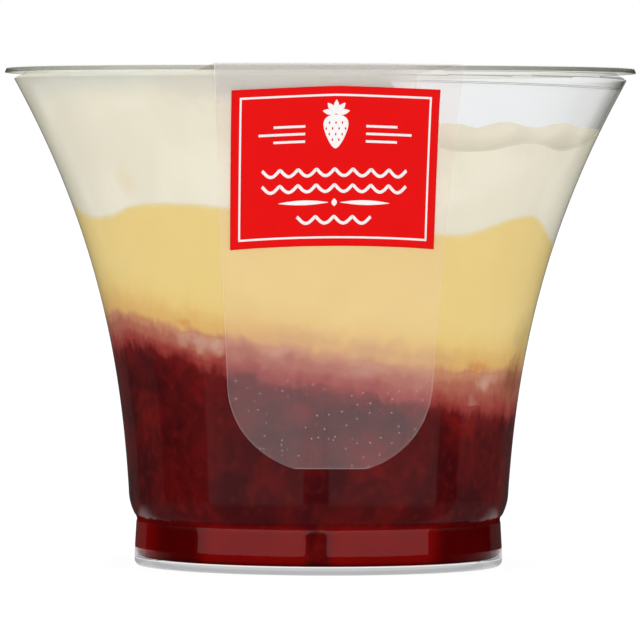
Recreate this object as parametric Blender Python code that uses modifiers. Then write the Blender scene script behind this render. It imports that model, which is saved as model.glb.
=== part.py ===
"""A layered trifle in its clear flared pot, sealed with a clear film and a label strip.

The pot stands on the XY plane with its axis on Z, and its front faces -Y.  Every
piece is a solid of revolution or a sheet laid on one, so the whole part hangs on
one function, outer_radius, which gives the pot's outside at any height.
Lengths below are in millimetres and are turned into metres where a mesh is made.
"""
import math

import bmesh
import bpy
import numpy as np
from mathutils import Matrix, Vector

MM = 0.001
SEGMENTS = 48             # facets round every turned piece, so that neighbours stay parallel

# The pot: a flared wall over a short foot band
RIM_HEIGHT = 74.25        # top of the flange
FLANGE_RADIUS = 47.5
FLANGE_THICK = 0.4
FLANGE_SLANT = 0.15       # how far its edge leans in towards the underside
NECK = 0.3                # widening of the wall where it turns into the flange
FLARE_TOP = 73.5          # where the wall meets the flange's neck
FLARE_BOTTOM = 11.3       # where the wall turns into the shoulder
WALL_RADIUS_LOW = 28.66   # outside radius at FLARE_BOTTOM
WALL_LEAN = 4.2           # even widening between the two
WALL_FLARE = 13.6         # extra widening towards the rim
FLARE_POWER = 2.28
WALL = 0.7
FLARE_STEPS = 9           # levels up the flared wall
SHOULDER_RADIUS = 7.8     # the arc that tucks the wall in above the foot
SHOULDER_MIDDLE = 9.3
FOOT_TOP = 7.3
FOOT_RADIUS_TOP = 27.5
FOOT_RADIUS_LOW = 27.85
FOOT_GROOVE = 0.1         # depth of the crease above the foot band
FOOT_EDGE = 1.1           # rounding of the foot's outer edge
FOOT_RING = 2.2           # width of the flat ring that the pot stands on
RECESS = 0.5              # depth of the hollow under the base
FLOOR = 1.9               # inside floor
FLOOR_CORNER = 4.0        # rounding between floor and wall
CORNER_STEPS = 4

# What touches keeps this gap
GAP = 0.3

# The film and the label strip that runs over it, from the front round to the back
FILM_THICK = 0.25
STRIP_THICK = 0.25
STRIP_TURN = 3.5          # degrees that the strip sits off the front, towards +X
STRIP_END = 15.8          # height of the strip's cut end
STRIP_ROUND_TOP = 28.3    # height where its rounded end begins
STRIP_ROUND_DEPTH = 13.3  # depth that the full rounded end would have
STRIP_HALF_LOW = 15.75    # half width at STRIP_ROUND_TOP
STRIP_HALF_TOP = 18.4     # half width at the rim
STRIP_LEAVES_WALL = 68.5  # above this the strip spans from the wall to the flange
STRIP_END_STEPS = 5       # rows in the rounded end
STRIP_WALL_STEPS = 5      # rows from there to where it leaves the wall
STRIP_FOLD = 0.25         # how sharply it folds over the rim
STRIP_COLUMNS = 6

# The printed panel on the strip's front
PANEL_LOW = 48.1
PANEL_HIGH = 71.0
PANEL_HALF = 15.3
PANEL_THICK = 0.25
PANEL_PEAK = 0.6          # rise of its top and bottom edges at the middle
PANEL_ROWS = 5

# Wavy lines where two layers meet at the wall: (degrees from the front towards +X, height)
COMPOTE_LINE = [(-150, 32.0), (-85, 33.6), (-60, 34.9), (-38, 32.6), (-14, 30.2), (10, 27.4),
                (35, 25.4), (58, 26.0), (85, 25.2), (120, 27.4), (160, 30.2)]
SPONGE_LINE = [(-150, 35.6), (-90, 37.0), (-63, 38.4), (-40, 36.3), (-16, 34.0), (8, 31.0),
               (35, 29.4), (55, 30.5), (80, 29.4), (120, 31.2), (160, 33.6)]
CUSTARD_LINE = [(-150, 52.6), (-120, 53.4), (-88, 54.5), (-63, 52.3), (-44, 54.4), (-20, 54.0),
                (8, 52.4), (36, 50.3), (58, 52.9), (78, 48.9), (110, 49.2), (145, 51.4)]
CREAM_LINE = [(-140, 72.4), (-85, 73.0), (-40, 73.0), (-16, 72.4), (2, 68.4), (18, 64.2),
              (32, 62.4), (46, 63.6), (60, 62.7), (95, 62.8), (130, 64.6), (165, 69.6)]

# Heights where the compote's side follows the floor's corner, the foot and the shoulder
COMPOTE_LEVELS = (2.6, 3.7, 5.6, FOOT_TOP, SHOULDER_MIDDLE, FLARE_BOTTOM, 17.0)

# The cream's heaped top: high on the left, a lower dome on the right
HEAP_HIGH = 73.2
HEAP_LOW = 66.3
HEAP_FALL_FROM = -30.0    # x where the high side starts to fall
HEAP_FALL_TO = 20.0
HEAP_EDGE_POWER = 5       # how suddenly the top drops to the wall


def clear_scene():
    for thing in list(bpy.data.objects):
        bpy.data.objects.remove(thing, do_unlink=True)


def material(name, colour, roughness, alpha=1.0, transmission=0.0):
    """A Principled material, also shown in its own colour in the viewport."""
    made = bpy.data.materials.new(name)
    made.use_nodes = True
    shader = made.node_tree.nodes["Principled BSDF"]
    shader.inputs["Base Color"].default_value = (*colour, 1.0)
    shader.inputs["Roughness"].default_value = roughness
    shader.inputs["Metallic"].default_value = 0.0
    shader.inputs["Alpha"].default_value = alpha
    shader.inputs["Transmission Weight"].default_value = transmission
    made.diffuse_color = (*colour, alpha)
    return made


def outer_radius(z):
    """The pot's outside radius at height z: flared wall, shoulder arc, foot band."""
    z = np.asarray(z, float)
    part = np.clip((z - FLARE_BOTTOM) / (FLARE_TOP - FLARE_BOTTOM), 0, 1)
    wall = WALL_RADIUS_LOW + WALL_LEAN * part + WALL_FLARE * part ** FLARE_POWER
    below = np.clip(FLARE_BOTTOM - z, 0, FLARE_BOTTOM - FOOT_TOP)
    shoulder = WALL_RADIUS_LOW - SHOULDER_RADIUS + np.sqrt(SHOULDER_RADIUS ** 2 - below ** 2)
    foot = FOOT_RADIUS_LOW + (FOOT_RADIUS_TOP - FOOT_RADIUS_LOW) * z / FOOT_TOP
    return np.where(z >= FLARE_BOTTOM, wall, np.where(z > FOOT_TOP, shoulder, foot))


def inner_radius(z):
    """The pot's inside radius: a wall's thickness in, rounded where it meets the floor."""
    z = np.asarray(z, float)
    drop = np.clip(FLOOR + FLOOR_CORNER - z, 0, FLOOR_CORNER)
    rounding = FLOOR_CORNER - np.sqrt(FLOOR_CORNER ** 2 - drop ** 2)
    return outer_radius(z) - WALL - rounding


def contents_radius(z):
    """How far out the food reaches: the pot's inside, with the gap kept below and beside it."""
    return inner_radius(z - GAP) - GAP


def spin(name, profile, collection, finish):
    """A turned solid: a Screw modifier on a profile of (radius, height) points."""
    mesh = bpy.data.meshes.new(name)
    points = [(radius * MM, 0, height * MM) for radius, height in profile]
    edges = [(i, i + 1) for i in range(len(points) - 1)]
    mesh.from_pydata(points, edges, [])
    thing = bpy.data.objects.new(name, mesh)
    collection.objects.link(thing)
    screw = thing.modifiers.new("Turn", "SCREW")
    screw.axis = "Z"
    screw.steps = screw.render_steps = SEGMENTS
    screw.use_merge_vertices = True
    screw.merge_threshold = 0.00001
    mesh.materials.append(finish)
    return thing


def cup(collection, finish):
    """The clear pot, its profile run from the inside floor over the rim to the base."""
    turns = np.radians(np.linspace(0, 90, CORNER_STEPS + 1))
    corner = FLOOR + FLOOR_CORNER * (1 - np.cos(turns))
    flare = np.linspace(FLARE_BOTTOM, FLARE_TOP, FLARE_STEPS + 1)
    inside = [(0, FLOOR)]
    inside += [(float(inner_radius(z)), z)
               for z in (*corner, FOOT_TOP, SHOULDER_MIDDLE, *flare)]
    flange_low = RIM_HEIGHT - FLANGE_THICK
    rim = [(inside[-1][0] + NECK, RIM_HEIGHT), (FLANGE_RADIUS, RIM_HEIGHT),
           (FLANGE_RADIUS - FLANGE_SLANT, flange_low),
           (float(outer_radius(FLARE_TOP)) + NECK, flange_low)]
    outside = [(float(outer_radius(z)), z) for z in (*flare[::-1], SHOULDER_MIDDLE)]
    outside += [(FOOT_RADIUS_TOP, FOOT_TOP), (FOOT_RADIUS_TOP - FOOT_GROOVE, FOOT_TOP - NECK),
                (FOOT_RADIUS_TOP, FOOT_TOP - 3 * NECK)]
    ring_outer = float(outer_radius(FOOT_EDGE)) - FOOT_EDGE
    outside += [(ring_outer + FOOT_EDGE * math.cos(turn), FOOT_EDGE * (1 - math.sin(turn)))
                for turn in turns]
    ring_inner = ring_outer - FOOT_RING
    base = [(ring_inner, 0), (ring_inner - RECESS, RECESS), (0, RECESS)]
    return spin("cup", inside + rim + outside + base, collection, finish)


def around(line, degrees):
    """Height of a closed wavy line at an angle: cubic pieces that pass through its points."""
    given = np.array(line, float)
    angles = np.concatenate([given[:, 0] - 360, given[:, 0], given[:, 0] + 360])
    heights = np.tile(given[:, 1], 3)
    slopes = np.gradient(heights, angles)
    degrees = (np.asarray(degrees, float) + 180) % 360 - 180
    i = np.searchsorted(angles, degrees, side="right") - 1
    width = angles[i + 1] - angles[i]
    t = (degrees - angles[i]) / width
    start = (1 + 2 * t) * (1 - t) ** 2 * heights[i] + t * (1 - t) ** 2 * width * slopes[i]
    end = t * t * (3 - 2 * t) * heights[i + 1] + t * t * (t - 1) * width * slopes[i + 1]
    return start + end


def meeting(line, out, degrees):
    """A surface between two layers: its wavy line at the wall, calming towards the middle."""
    mean = sum(height for _, height in line) / len(line)
    return mean + (around(line, degrees) - mean) * out ** 2


def heap(out, degrees):
    """The cream's top: a slope from the high left to the low right, dropping at the wall."""
    x = out * outer_radius(HEAP_LOW) * np.sin(np.radians(degrees))
    fall = np.clip((HEAP_FALL_TO - x) / (HEAP_FALL_TO - HEAP_FALL_FROM), 0, 1)
    top = HEAP_LOW + (HEAP_HIGH - HEAP_LOW) * fall * fall * (3 - 2 * fall)
    return top + (around(CREAM_LINE, degrees) - top) * out ** HEAP_EDGE_POWER


def side_heights(bottom, top, levels, fixed):
    """Heights up a layer's side: any fixed ones first, then even steps to its top."""
    if not fixed:
        return np.linspace(bottom, top, levels + 1)
    rest = np.linspace(fixed[-1], top, levels - len(fixed) + 1)
    return np.concatenate([[bottom], fixed, rest[1:]])


def layer(name, low, high, collection, finish, rings, levels, fixed=()):
    """One layer of the trifle: a drum whose points are moved into the pot.

    A drum's point has a share of the radius (out) and a level from 0 to levels.
    low and high give the layer's two faces at out and an angle, and the level
    picks a height between them.  The radius follows the pot's inside.
    """
    shares = np.linspace(0, 1, rings + 1)
    profile = [(out, 0) for out in shares] + [(1, level + 1) for level in range(levels)]
    profile += [(out, levels) for out in shares[-2::-1]]
    form = bmesh.new()
    points = [form.verts.new((out, 0, level)) for out, level in profile]
    edges = [form.edges.new(pair) for pair in zip(points, points[1:])]
    bmesh.ops.spin(form, geom=points + edges, axis=(0, 0, 1), cent=(0, 0, 0),
                   angle=2 * math.pi, steps=SEGMENTS, use_merge=True)
    bmesh.ops.remove_doubles(form, verts=form.verts, dist=0.0001)
    bmesh.ops.recalc_face_normals(form, faces=form.faces)
    for vert in form.verts:
        out = min(1.0, math.hypot(vert.co.x, vert.co.y))
        angle = math.atan2(vert.co.x, -vert.co.y)
        bottom = float(low(out, math.degrees(angle)))
        top = float(high(out, math.degrees(angle)))
        height = side_heights(bottom, top, levels, fixed)[round(vert.co.z)]
        radius = out * float(contents_radius(height))
        vert.co = Vector((radius * math.sin(angle), -radius * math.cos(angle), height)) * MM
    mesh = bpy.data.meshes.new(name)
    form.to_mesh(mesh)
    form.free()
    mesh.shade_smooth()
    mesh.materials.append(finish)
    thing = bpy.data.objects.new(name, mesh)
    collection.objects.link(thing)
    return thing


def strip_radius(z):
    """Radius of what the strip lies on: the wall, then a straight span to the flange."""
    if z <= STRIP_LEAVES_WALL:
        return float(outer_radius(z))
    span = (z - STRIP_LEAVES_WALL) / (RIM_HEIGHT - FLANGE_THICK - STRIP_LEAVES_WALL)
    start = float(outer_radius(STRIP_LEAVES_WALL))
    return start + (FLANGE_RADIUS - start) * span


def strip_half_width(z):
    """Half the strip's width: even growth to the rim, and half an ellipse at the end."""
    up = max(0.0, (z - STRIP_ROUND_TOP) / (RIM_HEIGHT - STRIP_ROUND_TOP))
    down = max(0.0, (STRIP_ROUND_TOP - z) / STRIP_ROUND_DEPTH)
    even = STRIP_HALF_LOW + (STRIP_HALF_TOP - STRIP_HALF_LOW) * up
    return even * math.sqrt(1 - down ** 2)


def on_front(radius, across, height):
    """A point of the strip, across millimetres round from its middle line."""
    angle = math.radians(STRIP_TURN) + across / radius
    return Vector((radius * math.sin(angle), -radius * math.cos(angle), height)) * MM


def sheet(name, rows, thickness, collection, finish):
    """A thin plate: a net of points with a Solidify modifier on its outer side."""
    form = bmesh.new()
    net = [[form.verts.new(point) for point in row] for row in rows]
    for low, high in zip(net, net[1:]):
        for i in range(len(low) - 1):
            form.faces.new((low[i], low[i + 1], high[i + 1], high[i]))
    mesh = bpy.data.meshes.new(name)
    form.to_mesh(mesh)
    form.free()
    mesh.materials.append(finish)
    thing = bpy.data.objects.new(name, mesh)
    collection.objects.link(thing)
    solid = thing.modifiers.new("Thickness", "SOLIDIFY")
    solid.thickness = thickness * MM
    solid.offset = 1
    return thing


def label_strip(collection, finish):
    """The clear strip: up the front, straight over the film and down the back."""
    end = np.linspace(STRIP_END, STRIP_ROUND_TOP, STRIP_END_STEPS + 1)
    wall = np.linspace(STRIP_ROUND_TOP, STRIP_LEAVES_WALL, STRIP_WALL_STEPS + 1)
    path = [(strip_radius(z) + GAP, z) for z in (*end, *wall[1:])]
    edge = FLANGE_RADIUS + GAP
    top = RIM_HEIGHT + GAP + FILM_THICK + GAP
    path += [(edge, RIM_HEIGHT - FLANGE_THICK), (edge, top - STRIP_FOLD), (edge - STRIP_FOLD, top)]
    columns = np.linspace(-1, 1, STRIP_COLUMNS + 1)
    front = [[on_front(radius, strip_half_width(min(z, RIM_HEIGHT)) * share, z)
              for share in columns] for radius, z in path]
    half_turn = Matrix.Rotation(math.pi, 3, "Z")
    back = [[half_turn @ point for point in reversed(row)] for row in reversed(front)]
    return sheet("label_strip", front + back, STRIP_THICK, collection, finish)


def label_panel(collection, finish):
    """The printed panel, a thin plate on the strip's front with a shallow peak."""
    lift = GAP + STRIP_THICK + GAP
    rows = []
    for height in np.linspace(PANEL_LOW, PANEL_HIGH, PANEL_ROWS + 1):
        row = []
        for share in np.linspace(-1, 1, STRIP_COLUMNS + 1):
            z = height + PANEL_PEAK * (1 - abs(share))
            row.append(on_front(strip_radius(z) + lift, PANEL_HALF * share, z))
        rows.append(row)
    return sheet("label_panel", rows, PANEL_THICK, collection, finish)


def lid_film(collection, finish):
    """The flat clear film that seals the flange."""
    low = RIM_HEIGHT + GAP
    high = low + FILM_THICK
    profile = [(0, high), (FLANGE_RADIUS, high), (FLANGE_RADIUS, low), (0, low)]
    return spin("lid_film", profile, collection, finish)


def main():
    clear_scene()
    part = bpy.data.collections.new("trifle_pot")
    bpy.context.scene.collection.children.link(part)

    clear = material("clear_plastic", (0.9, 0.92, 0.92), 0.05, 0.3, 0.9)
    film = material("clear_film", (0.92, 0.93, 0.93), 0.1, 0.25, 0.9)
    label = material("label_film", (0.86, 0.84, 0.82), 0.25, 0.35, 0.5)
    print_red = material("print_red", (0.80, 0.012, 0.012), 0.3)
    compote_red = material("strawberry_compote", (0.10, 0.006, 0.006), 0.15)
    soaked = material("soaked_sponge", (0.36, 0.09, 0.07), 0.5)
    yellow = material("custard", (0.80, 0.60, 0.24), 0.35)
    white = material("whipped_cream", (0.80, 0.73, 0.59), 0.5)

    cup(part, clear)
    layer("compote", lambda out, deg: FLOOR + GAP,
          lambda out, deg: meeting(COMPOTE_LINE, out, deg),
          part, compote_red, rings=4, levels=10, fixed=COMPOTE_LEVELS)
    layer("sponge", lambda out, deg: meeting(COMPOTE_LINE, out, deg) + GAP,
          lambda out, deg: meeting(SPONGE_LINE, out, deg),
          part, soaked, rings=4, levels=1)
    layer("custard", lambda out, deg: meeting(SPONGE_LINE, out, deg) + GAP,
          lambda out, deg: meeting(CUSTARD_LINE, out, deg),
          part, yellow, rings=4, levels=4)
    layer("cream", lambda out, deg: meeting(CUSTARD_LINE, out, deg) + GAP,
          heap, part, white, rings=6, levels=4)
    lid_film(part, film)
    label_strip(part, label)
    label_panel(part, print_red)


main()
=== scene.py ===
# %% [markdown]
# # A layered trifle in its clear pot
#
# This lesson dresses a small chilled dessert: a clear flared pot with four layers
# of food, sealed with a clear film and a clear label strip.  A frame made in CAD
# gives every size, and each cell below replaces one plain solid with a fine one.
# Everything is in metres, the pot stands on z = 0, and its front faces -Y.

# %% Load the frame
import math

import bpy
import numpy as np
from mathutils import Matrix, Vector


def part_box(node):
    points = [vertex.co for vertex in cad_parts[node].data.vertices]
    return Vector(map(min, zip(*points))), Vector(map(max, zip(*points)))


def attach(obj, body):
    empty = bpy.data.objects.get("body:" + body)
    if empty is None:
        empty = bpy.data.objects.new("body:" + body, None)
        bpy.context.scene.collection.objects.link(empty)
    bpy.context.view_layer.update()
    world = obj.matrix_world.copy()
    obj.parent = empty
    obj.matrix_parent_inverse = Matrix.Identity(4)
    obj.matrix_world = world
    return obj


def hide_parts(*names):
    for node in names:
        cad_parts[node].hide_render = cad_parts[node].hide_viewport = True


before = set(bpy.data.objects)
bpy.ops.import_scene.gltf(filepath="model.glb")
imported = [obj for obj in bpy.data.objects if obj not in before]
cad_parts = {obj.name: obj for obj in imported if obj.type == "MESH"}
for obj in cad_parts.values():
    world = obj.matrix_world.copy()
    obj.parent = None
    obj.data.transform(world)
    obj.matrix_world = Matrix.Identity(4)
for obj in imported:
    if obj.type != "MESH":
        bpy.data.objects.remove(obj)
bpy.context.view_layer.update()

# %% [markdown]
# ## Sizes
#
# The pot is a solid of revolution, so its sizes are radii and heights.  The
# outermost ones are read from the frame.  The rest say how the wall bends: the
# radius grows evenly at first and then faster towards the rim, like a trumpet.

# %% Radii and heights
MM = 0.001
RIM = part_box("cup")[1].x                # radius of the flange
FLANGE_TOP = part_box("cup")[1].z + 0.28 * MM
FILM_TOP = FLANGE_TOP + 0.10 * MM
FLANGE_LOW = FLANGE_TOP - 0.66 * MM
KNEE = FLANGE_LOW - 0.85 * MM           # the wall's widest place, where its shoulder turns in
FLANGE_ROOT = RIM - 3.3 * MM            # and the radius at which it meets the flange
KNEE_TURN = 1.8                         # how suddenly the shoulder turns
FLARE_LOW = 11.3 * MM                   # the flared wall starts here
FLARE_TOP = 73.5 * MM                   # and would be this tall without its shoulder
LOW_RADIUS = 28.66 * MM
LEAN = 4.2 * MM                         # even widening on the way up
FLARE = 13.5 * MM                       # and the widening that grows
FLARE_POWER = 2.28
WALL = 0.65 * MM                        # thickness low down
WALL_HIGH = 0.35 * MM                   # and at the knee
SHOULDER = 7.8 * MM                     # radius of the arc above the foot
FOOT_TOP = 7.3 * MM
FOOT_RADIUS = 27.45 * MM
FOOT_KINK = 2.85 * MM                   # below this height the foot stands almost upright
FOOT_SLOPE = 0.055
KINK_SHARE = 0.2                        # the share of that slope which is left there
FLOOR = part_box("compote")[0].z - 0.85 * MM
CORNER = 1.3 * MM                       # rounding between floor and wall
print(f"rim radius {RIM / MM:.1f} mm, top of film {FILM_TOP / MM:.1f} mm")

# %% [markdown]
# ## The wall as a function
#
# One function gives the outside radius at any height, and a second one the inside.
# The food, the label and its print all ask these two, so they fit without trying.
# A third turns a radius, an angle and a height into points.


# %% Outside and inside radius
def outside(z):
    """Radius of the pot's outside at height z.

    Above FLARE_LOW it is LOW_RADIUS + LEAN t + FLARE t^2.28, where t runs from 0 to
    1 up the wall.  Above the knee a shoulder turns in to the flange's root: the wall's
    share of that way is 1 - (1 - q)^1.8, where q runs from 0 at the flange to 1 at the
    knee.  Below FLARE_LOW an arc tucks in to the foot, a cone that is almost upright
    below FOOT_KINK.
    """
    z = np.asarray(z, float)
    t = np.clip((np.minimum(z, KNEE) - FLARE_LOW) / (FLARE_TOP - FLARE_LOW), 0, 1.2)
    wall = LOW_RADIUS + LEAN * t + FLARE * t ** FLARE_POWER
    q = np.clip((FLANGE_LOW - z) / (FLANGE_LOW - KNEE), 0, 1)
    wall = FLANGE_ROOT + (wall - FLANGE_ROOT) * (1 - (1 - q) ** KNEE_TURN)
    below = np.clip(FLARE_LOW - z, 0, FLARE_LOW - FOOT_TOP)
    shoulder = LOW_RADIUS - SHOULDER + np.sqrt(SHOULDER ** 2 - below ** 2)
    foot = FOOT_RADIUS + FOOT_SLOPE * (FOOT_TOP - np.maximum(z, FOOT_KINK)
                                       + KINK_SHARE * np.maximum(FOOT_KINK - z, 0))
    return np.where(z >= FLARE_LOW, wall, np.where(z > FOOT_TOP, shoulder, foot))


def thickness(z):
    """The wall thins evenly from WALL to WALL_HIGH, as plastic stretched upwards does."""
    return WALL + (WALL_HIGH - WALL) * np.clip((z - FLARE_LOW) / (KNEE - FLARE_LOW), 0, 1)


def inside(z):
    """Radius of the pot's inside: a thickness less, and rounded by CORNER at the floor."""
    z = np.asarray(z, float)
    drop = np.clip(FLOOR + CORNER - z, 0, CORNER)
    return outside(z) - thickness(z) - (CORNER - np.sqrt(CORNER ** 2 - drop ** 2))


def at(radius, angle, z):
    """Points at a radius, an angle from the front towards +X, and a height."""
    return np.stack([radius * np.sin(angle), -radius * np.cos(angle), z + 0 * angle], -1)


print("outside radius at foot, middle and rim:",
      [round(float(outside(z)) / MM, 1) for z in (0.004, 0.04, 0.073)])

# %% [markdown]
# ## From a net of points to a mesh
#
# Every piece here is a net: rows and columns of points worked out as whole arrays.
# The faces only join neighbours, so their indices are arrays too.  A closed solid
# should have its faces outwards, and its signed volume tells whether it has.


# %% Net to mesh
def fill_mesh(name, points, faces, smooth_to=50):
    """A mesh object from an array of points and a list of face-index arrays."""
    mesh = bpy.data.meshes.new(name)
    sizes = np.concatenate([np.full(len(part), part.shape[1]) for part in faces])
    corners = np.concatenate([part.ravel() for part in faces])
    mesh.vertices.add(len(points))
    mesh.vertices.foreach_set("co", points.astype(np.float32).ravel())
    mesh.loops.add(len(corners))
    mesh.loops.foreach_set("vertex_index", corners.astype(np.int32))
    mesh.polygons.add(len(sizes))
    starts = np.concatenate([[0], np.cumsum(sizes)[:-1]])
    mesh.polygons.foreach_set("loop_start", starts.astype(np.int32))
    mesh.update(calc_edges=True)
    mesh.validate()
    mesh.shade_smooth()
    mesh.set_sharp_from_angle(angle=math.radians(smooth_to))
    piece = bpy.data.objects.new(name, mesh)
    bpy.context.scene.collection.objects.link(piece)
    return piece


def quads(rows, columns, wrap):
    """Index array of the faces of a net with its points numbered row by row."""
    i = np.arange(rows - 1)[:, None]
    j = np.arange(columns if wrap else columns - 1)[None, :]
    k = (j + 1) % columns
    return np.stack([i * columns + j, i * columns + k,
                     (i + 1) * columns + k, (i + 1) * columns + j], -1).reshape(-1, 4)


# %% [markdown]
# A turned piece is a net whose columns run round the axis.  Its first and last row
# each shrink to one point, a pole, so that the solid is closed without a seam.

# %% Turned pieces
ROUND = 288                             # columns round a fine turned piece


def turned(name, net, smooth_to=50):
    """A closed piece from a net whose first and last rows each close in a pole.

    The net is rows by columns by 3, and its columns wrap round.  A pole's point is
    the mean of its row.  The faces are flipped if the signed volume, the sum of
    a . (b x c) / 6 over the triangles, is below zero.
    """
    rows, columns = net.shape[:2]
    body = net[1:-1].reshape(-1, 3)
    points = np.vstack([body, net[0].mean(0), net[-1].mean(0)])
    sides = quads(rows - 2, columns, True)
    j = np.arange(columns)
    k = (j + 1) % columns
    start = np.stack([np.full(columns, len(body)), k, j], -1)
    last = (rows - 3) * columns
    end = np.stack([np.full(columns, len(body) + 1), last + j, last + k], -1)
    corners = points[np.vstack([sides[:, :3], sides[:, [0, 2, 3]], start, end])]
    volume = np.einsum("ij,ij->i", corners[:, 0],
                       np.cross(corners[:, 1], corners[:, 2])).sum() / 6
    faces = [sides, start, end]
    if volume < 0:
        faces = [part[:, ::-1] for part in faces]
    print(f"{name}: {len(points)} points, {abs(volume) * 1e6:.2f} ml")
    return fill_mesh(name, points, faces, smooth_to)


def spun(profile):
    """The net of a profile, an array of (radius, height), turned about Z."""
    angle = np.arange(ROUND) * 2 * np.pi / ROUND
    return at(profile[:, 0, None], angle, profile[:, 1, None])


# %% [markdown]
# ## The pot
#
# The real pot is moulded in one piece: a flange, a small shoulder and a stacking
# step under it, the flared wall, a second shoulder and a foot band with a slightly
# hollow base.  Spinning a profile is the natural way to make it.  Its corners are
# small arcs, because a rounded corner is what catches the light on clear plastic.
# The stacking step is two tiny ledges inside the wall, on which the next pot rests.

# %% Arcs and the stacking step
STEP_HEIGHT = FLANGE_LOW - 1.55 * MM
STEP_OUT = 0.12 * MM                    # how far the wall steps outwards
STEP_GAP = 0.20 * MM                    # from one ledge to the next
LEDGE = 0.10 * MM                       # how tall each ledge is


def bend(centre, radius, start, end, steps=6):
    """Points on an arc, as (radius, height), with its angles in degrees."""
    turn = np.radians(np.linspace(start, end, steps + 1))
    return np.stack([centre[0] + radius * np.cos(turn), centre[1] + radius * np.sin(turn)], -1)


def stepped(z):
    """The inside wall with the stacking step: two small ledges, one just over the other."""
    share = (np.clip((z - STEP_HEIGHT) / LEDGE + 0.5, 0, 1)
             + np.clip((z - STEP_HEIGHT - STEP_GAP) / LEDGE + 0.5, 0, 1)) / 2
    return np.stack([inside(z) + STEP_OUT * share, z], -1)


print(f"the step lies {(FLANGE_TOP - STEP_HEIGHT) / MM:.2f} mm below the flange's top")

# %% [markdown]
# Thin plastic is never true.  Sealing the film has pulled the rim a little: its
# sides stand above its front, and one side above the other.  The step runs lower
# at the sides.  Both are small moves of the finished net, so they stay apart from
# the profile, and the film can take the same bow later.

# %% Bow and dip
RIM_BOW = 0.19 * MM
RIM_TILT = -0.11 * MM
STEP_DIP = 0.75 * MM
BOW_START = STEP_HEIGHT + 0.4 * MM      # below this height nothing is bowed


def lift(x, z):
    """How far the bowed rim stands above a flat one: RIM_BOW u^2 - RIM_TILT u, u = x / RIM.

    The lift fades in from BOW_START up to the flange.
    """
    share = np.clip((z - BOW_START) / (FLANGE_LOW - BOW_START), 0, 1)
    return share * (RIM_BOW * (x / RIM) ** 2 - RIM_TILT * x / RIM)


def bowed(net):
    """The same net with its rim bowed."""
    bent = net.copy()
    bent[..., 2] += lift(net[..., 0], net[..., 2])
    return bent


def dipped(net):
    """Let the step run lower at the sides, by STEP_DIP u^2 with u = x / RIM, along the inside wall.

    A point's share of the dip is 1 at the step and fades out within 1.7 mm of it.
    """
    x, y, z = np.moveaxis(net, -1, 0)
    radius = np.hypot(x, y)
    near = np.clip(1.4 - np.abs(z - STEP_HEIGHT) / (1.2 * MM), 0, 1)
    near = near * (radius < outside(z) - 0.15 * MM) * (z < FLANGE_LOW)
    lower = z - STEP_DIP * near * (x / RIM) ** 2
    grow = 1 + (inside(lower) - inside(z)) / np.maximum(radius, 1 * MM)
    return np.stack([x * grow, y * grow, lower], -1)


print(f"the rim's right end stands {lift(RIM, FLANGE_TOP) / MM:.2f} mm above a flat one")

# %% [markdown]
# The flange and the foot hold all the small corners of the pot, so each is made
# from short arcs of its own.

# %% Flange and foot
EDGE_ROUND = 0.12 * MM                  # rounding of the flange's edges
FOOT_ROUND = 0.8 * MM                   # rounding of the foot's lower corner
RING_WIDTH = 1.9 * MM                   # the flat ring that the pot stands on
RING_ROUND = 0.3 * MM
RECESS = 0.5 * MM                       # depth of the hollow inside that ring
CREASE = 0.14 * MM                      # depth of the groove over the foot band


def flange_rows(lip):
    """Three arcs: the inner lip, the top edge and the cut edge, as (radius, height)."""
    return [bend((lip + EDGE_ROUND, FLANGE_TOP - EDGE_ROUND), EDGE_ROUND, 180, 90),
            bend((RIM - 2.5 * EDGE_ROUND, FLANGE_TOP - EDGE_ROUND), EDGE_ROUND, 90, 20),
            bend((RIM - EDGE_ROUND, FLANGE_LOW + EDGE_ROUND), EDGE_ROUND, 0, -90)]


def foot_rows():
    """The groove, the foot band, its lower corner, the ring and the hollow base."""
    groove = [[FOOT_RADIUS + 0.02 * MM, FOOT_TOP + 0.02 * MM],
              [FOOT_RADIUS - CREASE, FOOT_TOP - 0.1 * MM],
              [FOOT_RADIUS - CREASE + 0.02 * MM, FOOT_TOP - 0.45 * MM]]
    band = np.concatenate([np.linspace(FOOT_TOP - 0.8 * MM, FOOT_KINK + 0.1 * MM, 8),
                           np.linspace(FOOT_KINK - 0.1 * MM, FOOT_ROUND, 5)])
    foot = float(outside(1.5 * MM))
    ring = foot - FOOT_ROUND - RING_WIDTH
    return [groove, np.stack([outside(band), band], -1),
            bend((foot - FOOT_ROUND, FOOT_ROUND), FOOT_ROUND, 0, -90, 10),
            bend((ring, RING_ROUND), RING_ROUND, -90, -180),
            bend((ring - 2 * RING_ROUND, RECESS - RING_ROUND), RING_ROUND, 0, 90)]


print("rows in the flange and the foot:",
      [sum(len(part) for part in parts) for parts in (flange_rows(44 * MM), foot_rows())])

# %% [markdown]
# The profile starts at the middle of the floor, goes up the inside, over the flange
# and down the outside to the middle of the base.  Rows are close together only
# where the shape turns, and the wall's rows are the same inside and outside.


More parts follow.
